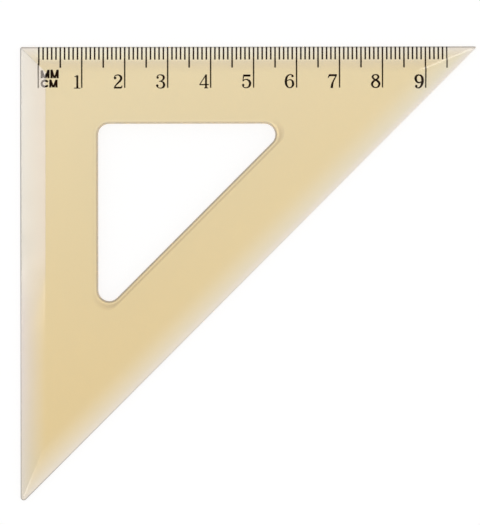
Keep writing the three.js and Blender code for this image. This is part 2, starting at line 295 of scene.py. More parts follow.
# %% A section's corner, rounded
def filleted(points, radii):
    """Walks along points (inset, height) and replaces each inner corner that has a radius by an
    arc. The arc starts and ends radius * tan(turn / 2) from the corner, and its points are the
    quadratic curve from one end to the other, pulled towards the corner."""
    points = np.asarray(points, float)
    walk = [points[:1]]
    for before, corner, after, radius in zip(points, points[1:], points[2:], radii):
        back, ahead = before - corner, after - corner
        back, ahead = back / np.linalg.norm(back), ahead / np.linalg.norm(ahead)
        turn = np.pi - np.arccos(np.clip(back @ ahead, -1, 1))
        reach = radius * np.tan(turn / 2)
        start, end = corner + back * reach, corner + ahead * reach
        t = np.linspace(0, 1, fillet_steps + 1)[:, None]
        walk.append((1 - t) ** 2 * start + 2 * t * (1 - t) * corner + t ** 2 * end)
    walk.append(points[-1:])
    return np.concatenate(walk)


# %% The two walls of the section
wall_top_inset = frame_width - window_lean
bevel_start = edge_lean + 2 * outer_fillet


def window_wall_section():
    """The window's wall from its foot to the flat. The chamfer is halved, so that a row of points
    runs along it."""
    wall_top = np.array([wall_top_inset, sheet_thickness - rim_depth])
    rim = np.array([frame_width - rim_width, sheet_thickness])
    chamfer_middle = (wall_top + rim) / 2
    foot = [(frame_width - 2 * foot_fillet, 0), (frame_width, 0)]
    below = filleted([*foot, wall_top, chamfer_middle], [foot_fillet, rim_fillet])
    above = filleted([chamfer_middle, rim, (rim[0] - rim_fillet, sheet_thickness)], [rim_fillet])
    return np.concatenate([below, above[1:]])


def outer_wall_section():
    """The outer wall from the end of the bevel to its foot. Its upper points lie on the bevel's
    own slope, edge thickness + slope times inset."""
    bevel_end = [(inset, edge_thickness + bevel_slope * inset) for inset in (bevel_start, edge_lean)]
    foot = [(0, 0), (2 * foot_fillet, 0)]
    return filleted([*bevel_end, *foot], [outer_fillet, foot_fillet])


window_wall, outer_wall = window_wall_section(), outer_wall_section()
print("points in the window's wall:", len(window_wall), "and in the outer wall:", len(outer_wall))

# %% [markdown]
# A row costs points all the way round, so rows are spent where the shape turns: many at the
# crease, a few over the flat and the bevel. The underside is flat. Its rows are there for its
# scuffs, which end just before the window.

# %% All rows of the skin
crease_rows = 15
plain_rows = 5
rim_rows = 3
scuffs_end = 15.1
clear_again = 15.9


def upper_insets():
    """Insets of the rows over the upper face. Behind the chamfer they stand as close as the
    chamfer's own fillet. At the crease they stand closer together towards its middle, as a square
    grows."""
    behind_rim = window_wall[-1, 0] - rim_fillet * np.arange(1, rim_rows + 1)
    spread = np.linspace(1, -1, 2 * crease_rows + 1)
    crease = bevel_width + crease_reach * spread * np.abs(spread)
    flat = np.linspace(behind_rim[-1], crease[0], plain_rows)[1:-1]
    bevel = np.linspace(crease[-1], outer_wall[0, 0], plain_rows)[1:-1]
    return np.concatenate([behind_rim, flat, crease, bevel])


upper = upper_insets()
underside = np.append(np.linspace(outer_wall[-1, 0], scuffs_end, plain_rows)[1:], clear_again)
insets = np.concatenate([window_wall[:, 0], upper, outer_wall[:, 0], underside])
row = np.arange(len(insets))
# The ring starts at the foot of the window's wall and ends with the outer wall's foot and underside
underneath = (row == 0) | (row >= len(insets) - len(underside) - 1)
print("rows:", len(insets), "of which underneath:", int(underneath.sum()))

# %% [markdown]
# Two small departures from the plain triangle were measured in the picture. The window sits a
# hair off the middle of its frame. And towards the far tip the wall of the hypotenuse stands
# upright, so that its dark line thins out there.

# %% The two departures
window_shift_right = 0.065
window_shift_up = 0.115
upright_share = along_the_outline((0, 0), (0.1, 0.85), (0.3, 0)) * side_mask(1)


def window_shift():
    """How far each row is moved (rows, 1, 2). The shift grows straight from nothing behind the
    crease to its full size at the window's chamfer."""
    share = np.interp(insets, [bevel_width + crease_reach, frame_width - rim_width], [0, 1])
    return share[:, None, None] * np.array([window_shift_right, window_shift_up])


def upright_edge():
    """How far each point is moved (rows, around, 2) to stand the hypotenuse's wall upright. The
    wall's rows give up a share of their inset, and the bevel's rows less and less."""
    given_up = insets * np.interp(insets, [edge_lean + outer_fillet, bevel_start], [1, 0])
    outwards = np.array([1, -1]) / np.sqrt(2)
    return given_up[:, None, None] * upright_share[None, :, None] * outwards


# %% The whole skin
def blank_skin():
    """Points (rows, around, 3) of the whole skin, in millimetres from the sharp right-angled
    corner: the triangles give x and y, and the section gives the height."""
    plan = rounded_triangles(insets, corner_radii(insets)) + window_shift() + upright_edge()
    around = np.ones((1, plan.shape[1]))
    heights = np.concatenate([
        window_wall[:, 1:] * around,
        bevelled_height(upper),
        outer_wall[:, 1:] * around,
        np.zeros((len(underside), 1)) * around,
    ])
    return np.dstack([plan, heights])


skin = blank_skin()
print("rows:", skin.shape[0], "points around:", skin.shape[1])

# %% [markdown]
# Dull walls, and the painted shade of the edges
#
# The walls of a moulding are never as clear as its faces. The mould is polished where the part has
# to be seen through, and left duller round the edges. The thin grey outline that a clear thing
# shows on white paper is shade, from how its edges bend the light; here it is painted instead, as
# a grey tint on the walls. So each point of the skin carries a number, from 0 on a clear face to 1
# or a little more on a dull wall. Blender calls that an attribute, and the finish reads it by its
# name: it makes the walls rough, and it tints them grey as painted shade.
#
# A ramp says where a line lies across the section: insets in millimetres, and the share at each. A
# second list says how strong the line is along the three sides. The graduated edge has a painted
# dark line of its own, which lies a little further in, on the round edge of its bevel.

# %% Three dull lines of painted shade, and how strong each is round the triangle
window_line = (wall_top_inset - 0.1, wall_top_inset, frame_width), (0, 1, 0.45)
outer_line = (edge_lean, edge_lean + 0.12), (1, 0)
printed_edge_line = (0, edge_lean, 0.2, 0.3), (0.3, 1, 1, 0)
dull_shaded_lines = [
    (window_line, along_the_outline((0.7, 0.7), (1.15, 1.15), (0.4, 0.4))),
    (outer_line, along_the_outline((0.8, 1.05), (1.25, 0), (0, 0))),
    (printed_edge_line, along_the_outline((0, 0), (0, 0), (0.78, 0.74))),
]


def blank_dullness_and_edge_shade():
    """Dullness and painted edge shade (rows, around): the largest of the lines, each of them its
    ramp times its strength. The underside is clear."""
    lines = [np.interp(insets, *ramp)[:, None] * strength for ramp, strength in dull_shaded_lines]
    return np.where(underneath[:, None], 0, np.max(lines, axis=0))


dullness_and_edge_shade = blank_dullness_and_edge_shade()
print("dull points:", int((dullness_and_edge_shade > 0).sum()), "of", dullness_and_edge_shade.size)


# %% [markdown]
# From numbers to a mesh
#
# Blender stores a mesh as long lists of numbers. A grid's faces follow from counting, so whole
# lists are handed over at once, which is far quicker than adding one corner after another.

# %% The faces of a grid that closes both ways
def ring_faces(rows, around):
    """Quads of a closed grid: each cell joins row r and the next, point c and the next, both
    counted round. Rows run outwards over the top while points run counter-clockwise, so faces
    look out."""
    r, c = np.meshgrid(np.arange(rows), np.arange(around), indexing="ij")
    r_next, c_next = (r + 1) % rows, (c + 1) % around
    corners = [
        r * around + c, r_next * around + c, r_next * around + c_next, r * around + c_next,
    ]
    return np.stack(corners, axis=-1).reshape(-1, 4)


# %% The volume inside a closed skin
def enclosed_volume(points, faces):
    """Volume inside a closed skin of quads: a sixth of the sum, over both triangles of each quad,
    of a . (b x c). It is positive when the faces look outwards."""
    a, b, c, d = (points[faces[:, i]] for i in range(4))
    first = np.einsum("ij,ij->i", a, np.cross(b, c))
    second = np.einsum("ij,ij->i", a, np.cross(c, d))
    return (first + second).sum() / 6


# %% An object from points and faces
def mesh_object(name, points, faces):
    """A smooth-shaded object at the origin, from points in metres and quads. Face number n starts
    at entry 4 n of the list of face corners."""
    mesh = bpy.data.meshes.new(name)
    mesh.vertices.add(len(points))
    mesh.vertices.foreach_set("co", points.astype(np.float32).ravel())
    mesh.loops.add(faces.size)
    mesh.loops.foreach_set("vertex_index", faces.astype(np.int32).ravel())
    mesh.polygons.add(len(faces))
    starts = np.arange(len(faces), dtype=np.int32) * faces.shape[1]
    mesh.polygons.foreach_set("loop_start", starts)
    mesh.update(calc_edges=True)
    mesh.validate()
    mesh.shade_smooth()
    piece = bpy.data.objects.new(name, mesh)
    bpy.context.scene.collection.objects.link(piece)
    return piece


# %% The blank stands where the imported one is
corner = np.array([blank_low.x, blank_high.y, blank_low.z])
blank_points = skin.reshape(-1, 3) * millimetre + corner
blank_faces = ring_faces(*skin.shape[:2])
blank = mesh_object("amber_blank", blank_points, blank_faces)
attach(blank, "root")
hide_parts("moulded_blank")
plastic_volume = enclosed_volume(blank_points, blank_faces) / millimetre ** 3
print("volume of plastic, cubic mm:", round(plastic_volume, 1))


# %% The blank carries its dullness and painted edge shade, and its scuffs
def carry(name, values):
    """Stores one number for each point of the blank, under a name that the finish can read."""
    carried = blank.data.attributes.new(name, "FLOAT", "POINT").data
    carried.foreach_set("value", values.ravel())
    print(name, "carried by", len(carried), "points, up to", values.max().round(2))


scuffs = underneath * np.interp(insets, [scuffs_end, clear_again], [1.0, 0.0])
carry("dullness_and_edge_shade", dullness_and_edge_shade)
carry("scuffed", scuffs[:, None] * np.ones(skin.shape[1]))

# %% [markdown]
# The straight marks
#
# A hot stamp presses foil into the plastic, one bar for each millimetre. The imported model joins
# the short marks in runs of four with a hair of foil, to keep its count of parts low. Here each
# mark is its own bar again, with slightly rounded ends and thin edges. A picture of the marks
# would be simpler, but it would have no thickness under a slanting light. A bar is a small grid
# too: its outline walks round, and its section walks from the lower face over the edge to the
# upper.

# %% The outline of a bar
bar_corner = 0.07
bar_corner_steps = 4
bar_points = 4 * bar_corner_steps


def bar_outline(half_width, half_length, inset):
    """Points (around, 2) of a rectangle with round corners, moved inwards by the inset: each
    corner is centre + radius times (cos, sin) over a quarter turn."""
    angle = np.linspace(0, np.pi / 2, bar_corner_steps)
    radius = bar_corner - inset
    parts = []
    for quarter, (side_x, side_y) in enumerate([(1, 1), (-1, 1), (-1, -1), (1, -1)]):
        turn = angle + quarter * np.pi / 2
        x = side_x * (half_width - bar_corner) + radius * np.cos(turn)
        y = side_y * (half_length - bar_corner) + radius * np.sin(turn)
        parts.append(np.stack([x, y], axis=1))
    return np.concatenate(parts)


print("points round a bar:", bar_points)

# %% The mesh of equal bars
bar_edge = 0.008


def bar_mesh(centres, half_width, half_length, bottom, top, taper):
    """Vertices and faces of equal bars. A bar's four rings are its outline at the bottom and top,
    drawn in by the edge, and at full size between them. One flat face closes each end. The taper
    is the share of its width that a bar loses from its upper end to its lower one."""
    rings = [(bar_edge, bottom), (0, bottom + bar_edge), (0, top - bar_edge), (bar_edge, top)]
    points = np.concatenate([
        np.column_stack([
            bar_outline(half_width, half_length, inset),
            np.full(bar_points, height),
        ])
        for inset, height in rings
    ])
    points[:, 0] *= 1 - taper * (half_length - points[:, 1]) / (2 * half_length)
    here = np.arange(bar_points)
    after = (here + 1) % bar_points
    sides = [
        np.stack([here, after, after + bar_points, here + bar_points], axis=1) + ring * bar_points
        for ring in range(len(rings) - 1)
    ]
    ends = [here[::-1], here + (len(rings) - 1) * bar_points]
    faces = [list(face) for face in np.concatenate(sides)] + [list(face) for face in ends]
    vertices = np.concatenate([points + np.array([x, y, 0]) for x, y in centres])
    all_faces = [
        [index + copy * len(points) for index in face]
        for copy in range(len(centres)) for face in faces
    ]
    return vertices, all_faces


# %% [markdown]
# The picture shows two small flaws of the stamp. The centimetre marks lose a fifth of their width
# towards their lower ends. And the last mark, at 9.5, took less foil than the others: it is
# thinner, a hair to the left, and stops short.

# %% The width of a mark, and the two flaws
mark_low, mark_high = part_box("centimetre_mark_0")
mark_width = (mark_high.x - mark_low.x) / millimetre
long_mark_taper = 0.2
last_mark = "half_centimetre_mark_95"
last_mark_width_share = 0.82
last_mark_taper = 0.05
last_mark_shift = -0.03
last_mark_cut = 0.13
print("width of a mark, mm:", round(mark_width, 3))


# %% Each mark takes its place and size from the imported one
def count_of_marks(node):
    """How many marks a node holds: a run is named by its first and last millimetre."""
    if not node.startswith("millimetre_marks_"):
        return 1
    first, last = node.removeprefix("millimetre_marks_").split("_to_")
    return int(last) - int(first) + 1


def straight_marks(node):
    """Makes the bars of one node: equally spaced between its box's ends, and as long as the box,
    but for the two flaws."""
    low, high = (np.array(end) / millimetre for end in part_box(node))
    half_width = mark_width / 2
    places = np.linspace(low[0] + half_width, high[0] - half_width, count_of_marks(node))
    taper = long_mark_taper if node.startswith("centimetre_mark_") else 0
    if node == last_mark:
        taper = last_mark_taper
        half_width *= last_mark_width_share
        places = places + last_mark_shift
        low[1] += last_mark_cut
    centres = [(x, (low[1] + high[1]) / 2) for x in places]
    half_length = (high[1] - low[1]) / 2
    vertices, faces = bar_mesh(centres, half_width, half_length, low[2], high[2], taper)
    mesh = bpy.data.meshes.new(node + "_foil")
    mesh.from_pydata((vertices * millimetre).tolist(), [], faces)
    mesh.validate()
    piece = bpy.data.objects.new(node + "_foil", mesh)
    bpy.context.scene.collection.objects.link(piece)
    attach(piece, "root")
    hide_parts(node)
    return piece


# %% All straight marks
mark_nodes = [name for name in sorted(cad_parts) if "_mark" in name]
marks = [straight_marks(node) for node in mark_nodes]
mark_count = sum(count_of_marks(node) for node in mark_nodes)
print("straight marks:", mark_count, "in", len(marks), "pieces")

# %% [markdown]
# Finishes
#
# A finish is built from nodes. One helper adds a node, sets its own properties and fills its
# sockets, either with a value or with a link from another node. Colours are written as the sRGB
# hex values that a picture editor shows, and one function turns them into the linear values that
# Blender calculates with.


# %% Helpers for finishes
def linear(hex_colour):
    """The linear red, green, blue and 1 of an sRGB hex colour: c / 12.92 up to 0.04045, and above
    it ((c + 0.055) / 1.055) to the power 2.4."""
    srgb = np.array([int(hex_colour[i:i + 2], 16) for i in (1, 3, 5)]) / 255
    low, high = srgb / 12.92, ((srgb + 0.055) / 1.055) ** 2.4
    return (*np.where(srgb <= 0.04045, low, high).tolist(), 1.0)


def add_node(tree, kind, settings=None, in_order=(), **sockets):
    """Adds one node. Settings are its own properties. A socket is named by its label, with _ for a
    space. Where several sockets share a label, as in Math, their values are given in order. A
    socket gets a value or another node's output."""
    node = tree.nodes.new(kind)
    for name, value in (settings or {}).items():
        setattr(node, name, value)
    filled = list(zip(node.inputs, in_order))
    for label, value in sockets.items():
        named = [s for s in node.inputs if s.enabled and s.name == label.replace("_", " ")]
        filled.append((named[0], value))
    for socket, value in filled:
        if isinstance(value, bpy.types.NodeSocket):
            tree.links.new(value, socket)
        else:
            socket.default_value = value
    return node


def new_finish(name):
    """A material without nodes, and its node tree."""
    finish = bpy.data.materials.new(name)
    finish.use_nodes = True
    finish.node_tree.nodes.clear()
    return finish, finish.node_tree


print("mid grey #808080 in linear light:", round(linear("#808080")[0], 3))

# %% [markdown]
# Clear amber plastic: the dye
#
# Drafting triangles are moulded in a clear, hard plastic, with a dye that takes out blue light. So
# the colour isn't on the surface: it grows with the way that the light travels through. Painting
# the faces amber would give the thin bevels the same colour as the flat. Volume absorption gives
# the real thing, and fades the bevels towards their thin edges by itself.

# %% What the dye takes out, measured across the bevels
dye_colour = "#fce95f"
dye_density = 350
plastic_ior = 1.57
dye_linear = np.array(linear(dye_colour)[:3])
print("dye, per mm, red green blue:", (dye_density * millimetre * (1 - dye_linear)).round(3))

# %% [markdown]
# Clear amber plastic: thin tints on the skin, with painted light and shade
#
# The rest of the colour lies on the skin. It is a stack of thin tints, as in lacquering: each layer
# has a share at every point, and the layers multiply. Apart from the yellow of age, the layers are
# painted light and shade. Light crosses two faces, and Blender takes the root of the tint at each.
# So the upper face carries the square of the stack, and the underside stays clear.
#
# A texture could do the same, but it would need a picture. Here the layers are worked out from
# where a point lies: its inset, its side of the triangle, and how far across and down it is. A
# ramp is again a list of places in millimetres with the layer's share at each.

# %% Where each point of the skin lies
plain_leg, hypotenuse, graduated_leg = (side_mask(side) for side in range(3))
across, down = skin[..., 0], -skin[..., 1]
inwards = insets[:, None]
layers = []
print("across and down, mm, up to:", across.max().round(1), down.max().round(1))

# %% [markdown]
# The face has a faint cool tint all over. It is painted shade, with a cool hue: it darkens the
# plastic for the shade that the sheet throws on the paper beneath it. Beside the short marks of
# the scale it is left out, most at the zero end, as painted light between the marks. The body has
# yellowed with age, more towards the lower tip, and less where the bevels make it thin.

# %% Layers of the face: cool painted shade, painted light by the marks, the yellow of age
cool_shade_tint = "#f6f3fc"
aged_tint = "#f9f2e2"
aged_side_share = 0.275
aged_from = 16
aged_reach = 75
light_by_the_marks_ramp = (2.9, 3.4), (1, 0)
light_by_the_marks_at_the_far_end = 0.5
scale_start = (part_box("centimetre_mark_0")[0].x - blank_low.x) / millimetre
scale_end = (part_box("half_centimetre_mark_95")[1].x - blank_low.x) / millimetre

# Painted light: beside the short marks the cool shade is left out, so the plastic is lighter there
light_by_the_marks = np.interp(insets, *light_by_the_marks_ramp)[:, None] * graduated_leg
light_by_the_marks = light_by_the_marks * ((across > scale_start) & (across < scale_end))
light_by_the_marks = light_by_the_marks * np.interp(across, [scale_start, scale_end], [1, light_by_the_marks_at_the_far_end])
thickness = np.minimum(edge_thickness + bevel_slope * inwards, sheet_thickness) / sheet_thickness
aged = np.clip((aged_side_share * across + down - aged_from) / aged_reach, 0, 1) * thickness
layers += [(cool_shade_tint, 1 - light_by_the_marks), (aged_tint, aged)]
print("the scale runs from", round(scale_start, 2), "to", round(scale_end, 2), "mm")

# %% [markdown]
# The plain bevel carries a faint painted shade all over. Its upper stretch, down to the middle of
# the leg, is where the first card's glare falls: there it is tinted grey-blue, and a little yellow
# at the very edge, as a painted reflection that gives the glare its washed-out colour. Below that
# the tint sets in slowly from the crease instead of at once. The lower tip is a little warmer.

# %% Layers of the plain bevel: painted shade, and the painted colour of its glare
plain_bevel_shade_tint = "#f8f8fe"
lower_tip_tint = "#fcfdf8"
glare_stretch_tint = "#e7ebfe"
glare_stretch_edge_tint = "#ffffe7"
glare_stretch_until = (47, 53.3, 63.3)
glare_stretch_shares = (1, 0.52, 0)
glare_stretch_edge_ramp = (0.7, bevel_width), (1, 0)
lower_tip_ramp = (79, 98), (0, 1)
crisp_fade = 0.4
wide_fade = 3.5
past_the_crease = 0.1

fade = np.interp(down, glare_stretch_until[1:], [crisp_fade, wide_fade])
on_plain_bevel = np.clip((crease_inset + past_the_crease - inwards) / fade, 0, 1)
# Where the card's glare falls, the bevel gets a painted grey-blue: a painted reflection colour
glare_stretch = np.interp(down, glare_stretch_until, glare_stretch_shares) * plain_leg
layers += [
    (plain_bevel_shade_tint, on_plain_bevel * plain_leg),
    (lower_tip_tint, on_plain_bevel * plain_leg * np.interp(down, *lower_tip_ramp)),
    (glare_stretch_tint, on_plain_bevel * glare_stretch),
    (glare_stretch_edge_tint, np.interp(insets, *glare_stretch_edge_ramp)[:, None] * glare_stretch),
]
print("points on the plain bevel:", int((on_plain_bevel * plain_leg > 0).sum()))

# %% [markdown]
# The soft bevel of the hypotenuse grows a little warmer towards the far tip: painted light, which
# stands in for a warm light on it. The printed bevel is a little darker in its middle, between the
# marks and the crease: painted shade, for the dim part of the room that it mirrors. Beside the zero
# mark that painted shade is weaker.

# %% Layers of painted warm light on the soft bevel and painted shade on the printed bevel
soft_bevel_warm_light_tint = "#fafbf3"
soft_bevel_ramp = (0.3, 1.3, bevel_width), (0, 1, 0)
printed_bevel_shade_tint = "#f6f3ee"
printed_bevel_ramp = (1.0, 3.0, 4.2, 6.2), (0.3, 1, 1, 0)
zero_mark_ramp = (scale_start - 0.5, scale_start), (0.35, 1)

on_soft_bevel = np.interp(insets, *soft_bevel_ramp)[:, None]
on_soft_bevel = on_soft_bevel * along_the_outline((0, 0), (0, 1), (0, 0))
on_printed_bevel = np.interp(insets, *printed_bevel_ramp)[:, None] * graduated_leg
on_printed_bevel = on_printed_bevel * np.interp(across, *zero_mark_ramp) * (1 - light_by_the_marks)
layers += [(soft_bevel_warm_light_tint, on_soft_bevel), (printed_bevel_shade_tint, on_printed_bevel)]
print("largest share on the soft bevel:", on_soft_bevel.max().round(2))

# %% [markdown]
# A fine grey line runs round the window just outside its chamfer. It is painted shadow: the
# chamfer bends the light that falls through it, which leaves a thin shadow on the paper beneath.
# It shows along the hypotenuse, and hardly along the plain leg. Last comes the painted shade of
# the dull walls.

# %% Layers of the painted shadow round the window and the painted shade of the walls
rim_shadow_tint = "#e7e3e5"
rim_shadow_inset = 17.05
rim_shadow_reach = 0.38
rim_shadow_share_on_the_plain_leg = 0.15
# The walls' grey tint is painted shade: the dark outline of the edges
wall_shade_tint = "#a7a39f"

# The line round the window is painted shadow, darkest at its inset and fading over its reach
rim = np.clip(1 - np.abs(inwards - rim_shadow_inset) / rim_shadow_reach, 0, 1)
rim = rim * (hypotenuse + rim_shadow_share_on_the_plain_leg * plain_leg)
layers += [(rim_shadow_tint, rim), (wall_shade_tint, dullness_and_edge_shade)]
print("layers:", len(layers))


# %% The stack, carried by the blank
def stacked(layers):
    """Linear tint (rows, around, 3): the product of each layer's colour to the power of its
    share."""
    tints = [np.array(linear(colour)[:3]) ** share[..., None] for colour, share in layers]
    return np.prod(tints, axis=0)


# The tint carries the painted light and shade of the layers, and the yellow of age
tint = np.where(underneath[:, None, None], 1, stacked(layers) ** 2)
carried = blank.data.attributes.new("tint", "FLOAT_COLOR", "POINT").data
carried.foreach_set("color", np.dstack([tint, np.ones(tint.shape[:2])]).ravel())
print("darkest tint:", tint.min(axis=(0, 1)).round(2))
print("lightest tint:", tint.max(axis=(0, 1)).round(2))

# %% [markdown]
# Clear amber plastic: the surface
#
# The material is injection-moulded clear plastic. Its surface is the copy of a polished mould, so
# it mirrors sharply, with patches a few millimetres wide where the polish is duller. Where the
# plastic shrank as it cooled, the face is wavy by a few hundredths of a millimetre. The eye reads
# both as moulded plastic rather than glass. The dull walls scatter what they mirror and what they
# let through. The soft grey line along them is painted shade, from their grey tint.

# %% Polished faces and dull walls
polish_patch = 5
polished_roughness = (0.06, 0.11)
wall_roughness = 0.45

amber_plastic, amber_tree = new_finish("clear_injection_moulded_amber_plastic")
object_place = add_node(amber_tree, "ShaderNodeTexCoord").outputs["Object"]
polish = add_node(
    amber_tree, "ShaderNodeTexNoise",
    Vector=object_place, Scale=1 / (polish_patch * millimetre), Detail=3.0,
).outputs["Fac"]
gloss = add_node(
    amber_tree, "ShaderNodeMapRange", Value=polish, From_Min=0.3, From_Max=0.7,
    To_Min=polished_roughness[0], To_Max=polished_roughness[1],
).outputs["Result"]
dull = add_node(amber_tree, "ShaderNodeAttribute", {"attribute_name": "dullness_and_edge_shade"}).outputs["Fac"]
wall_gloss = add_node(
    amber_tree, "ShaderNodeMapRange", Value=dull, To_Max=wall_roughness,
).outputs["Result"]
roughness = add_node(
    amber_tree, "ShaderNodeMath", {"operation": "MAXIMUM"}, in_order=(gloss, wall_gloss),
).outputs["Value"]
print("roughness of the faces:", polished_roughness, "and of the walls, up to:", wall_roughness)

# %% The slow wave of the shrunk plastic
shrinkage_wave = 16
wave_depth = 0.05

shrinkage = add_node(
    amber_tree, "ShaderNodeTexNoise",
    Vector=object_place, Scale=1 / (shrinkage_wave * millimetre), Detail=1.0,
).outputs["Fac"]
wave = add_node(
    amber_tree, "ShaderNodeBump",
    Height=shrinkage, Strength=0.25, Distance=wave_depth * millimetre,
).outputs["Normal"]
print("the wave runs over, mm:", shrinkage_wave, "and is deep, mm:", wave_depth)

# %% Clear plastic with the tints on its skin, painted light and shade among them
skin_colour = add_node(
    amber_tree, "ShaderNodeAttribute", {"attribute_name": "tint"},
).outputs["Color"]
clear_plastic = add_node(
    amber_tree, "ShaderNodeBsdfPrincipled",
    Base_Color=skin_colour, Roughness=roughness, IOR=plastic_ior,
    Transmission_Weight=1.0, Normal=wave,
).outputs["BSDF"]
print("IOR of the plastic:", plastic_ior)

# %% [markdown]
# Clear amber plastic: the scuffed underside
#
# The underside rubs over paper and is full of fine scratches. From straight above they don't
# show. But light that enters a bevel at a low angle is trapped: it meets the underside at such a
# slant that it is mirrored back, again and again. On the real thing the scratches let it out as a
# soft glow. Blender gives up after some mirrorings, and the bevel would look nearly black.
#
# So the underside is a mix of clear plastic and a white Translucent surface, which stands for the
# scratches. Layer Weight tells how steeply a ray meets the face, from 0 for straight on to 1 for
# grazing, and only rays past the angle of total reflection get a share of it. The scratches are
# too fine to show one by one, so they are drawn as cloudy patches half a millimetre wide. Near the
# window the underside is clear, which keeps the fine lines of the window's wall.

# %% Scratches that let trapped light out
scratch_patch = 0.5
scratch_shares = (0.4, 0.9)
trapped_ramp = (0.2, 0.26)

scuffed = add_node(amber_tree, "ShaderNodeAttribute", {"attribute_name": "scuffed"}).outputs["Fac"]
scratch = add_node(
    amber_tree, "ShaderNodeTexNoise",
    Vector=object_place, Scale=1 / (scratch_patch * millimetre), Detail=2.0,
).outputs["Fac"]
scratched = add_node(
    amber_tree, "ShaderNodeMapRange", Value=scratch, From_Min=0.3, From_Max=0.7,
    To_Min=scratch_shares[0], To_Max=scratch_shares[1],
).outputs["Result"]
slant = add_node(amber_tree, "ShaderNodeLayerWeight", Blend=0.5).outputs["Facing"]
trapped = add_node(
    amber_tree, "ShaderNodeMapRange", Value=slant,
    From_Min=trapped_ramp[0], From_Max=trapped_ramp[1], To_Max=scratched,
).outputs["Result"]
scuffed_share = add_node(
    amber_tree, "ShaderNodeMapRange", Value=scuffed, To_Max=trapped,
).outputs["Result"]
scatter = add_node(
    amber_tree, "ShaderNodeBsdfTranslucent", Color=linear("#ffffff"),
).outputs["BSDF"]
skin_surface = add_node(
    amber_tree, "ShaderNodeMixShader", in_order=(scuffed_share, clear_plastic, scatter),
).outputs["Shader"]
print("light is trapped from a slant of", round(1 - (1 - 1 / plastic_ior ** 2) ** 0.5, 3))

# %% The dye inside, and the blank gets its plastic
dye = add_node(
    amber_tree, "ShaderNodeVolumeAbsorption", Color=linear(dye_colour), Density=dye_density,
).outputs["Volume"]
add_node(amber_tree, "ShaderNodeOutputMaterial", Surface=skin_surface, Volume=dye)
blank.data.materials.append(amber_plastic)
print("nodes in the plastic:", len(amber_tree.nodes))

# %% [markdown]
# Stamped foil
#
# The print is a hot-stamped pigment foil: a dry, nearly black brown layer a few hundredths of a
# millimetre thick. It is matt, it varies a little in depth where the stamp pressed harder, and
# here and there a speck didn't take. To the eye it is ink that sits in the plastic and isn't
# quite even. Real specks are too fine to show, so they are drawn coarser, about a tenth of a
# millimetre wide. The thin marks took a little less pigment than the figures, so they are browner.

# %% Colours and grain of the foil
figure_foil_dark = "#240e00"
figure_foil_worn = "#3a1b00"
mark_foil_dark = "#361d00"
mark_foil_worn = "#482a00"
pressure_cloud = 0.9
dry_speck = 0.12
speck_depth = 0.01
print("pressure varies over, mm:", pressure_cloud, "and a dry speck is, mm:", dry_speck)


# %% The finish of the foil
def foil_finish(name, dark, worn):
    """Hot-stamped pigment foil: matt brown-black, with cloudy pressure marks and small dry specks.
    Its colour goes from dark to worn by the larger of the cloud and the speck."""
    finish, tree = new_finish(name)
    place = add_node(tree, "ShaderNodeTexCoord").outputs["Object"]
    pressure = add_node(
        tree, "ShaderNodeTexNoise",
        Vector=place, Scale=1 / (pressure_cloud * millimetre), Detail=2.0,
    ).outputs["Fac"]
    cloud = add_node(
        tree, "ShaderNodeMapRange", Value=pressure, From_Min=0.35, From_Max=0.7, To_Max=0.6,
    ).outputs["Result"]
    speck = add_node(
        tree, "ShaderNodeTexNoise", Vector=place, Scale=1 / (dry_speck * millimetre), Detail=1.0,
    ).outputs["Fac"]
    dryness = add_node(
        tree, "ShaderNodeMapRange", Value=speck, From_Min=0.62, From_Max=0.7,
    ).outputs["Result"]
    wear = add_node(
        tree, "ShaderNodeMath", {"operation": "MAXIMUM", "use_clamp": True},
        in_order=(dryness, cloud),
    ).outputs["Value"]
    mixed = add_node(
        tree, "ShaderNodeMix", {"data_type": "RGBA"}, Factor=wear, A=linear(dark), B=linear(worn),
    )
    colour = [output for output in mixed.outputs if output.enabled][0]
    bump = add_node(
        tree, "ShaderNodeBump", Height=speck, Strength=0.3, Distance=speck_depth * millimetre,
    ).outputs["Normal"]
    surface = add_node(
        tree, "ShaderNodeBsdfPrincipled",
        Base_Color=colour, Roughness=0.5, Specular_IOR_Level=0.1, Normal=bump,
    ).outputs["BSDF"]
    add_node(tree, "ShaderNodeOutputMaterial", Surface=surface)
    return finish


# %% The marks get their foil
mark_foil = foil_finish(
    "hot_stamped_brown_pigment_foil_of_the_marks", mark_foil_dark, mark_foil_worn,
)
figure_foil = foil_finish(
    "hot_stamped_brown_pigment_foil_of_the_figures", figure_foil_dark, figure_foil_worn,
)
for piece in marks:
    piece.data.materials.append(mark_foil)
print("marks with foil:", len(marks))

# %% [markdown]
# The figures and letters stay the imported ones. They are finished shapes already, so only their
# foil is new.

# %% The foil goes into the slots of the figures and letters
figures = [
    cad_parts[name] for name in sorted(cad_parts) if name.startswith(("numeral", "unit"))
]
for piece in figures:
    piece.data.materials.clear()
    piece.data.materials.append(figure_foil)
print("figures and letters:", len(figures))

# %% [markdown]
# The floor
#
# The triangle lies on white paper in soft studio light. A white floor in a picture is usually
# brighter than the film can hold. The same is done here without more light on the object: the
# floor glows a little for rays that come from the camera, a reflection or a view through plastic,
# and what is left of its brightness is real bounced light, so it still takes the triangle's
# shadow.

# %% The finish of the paper
floor_glow = 0.83
paper_colour = "#adadad"


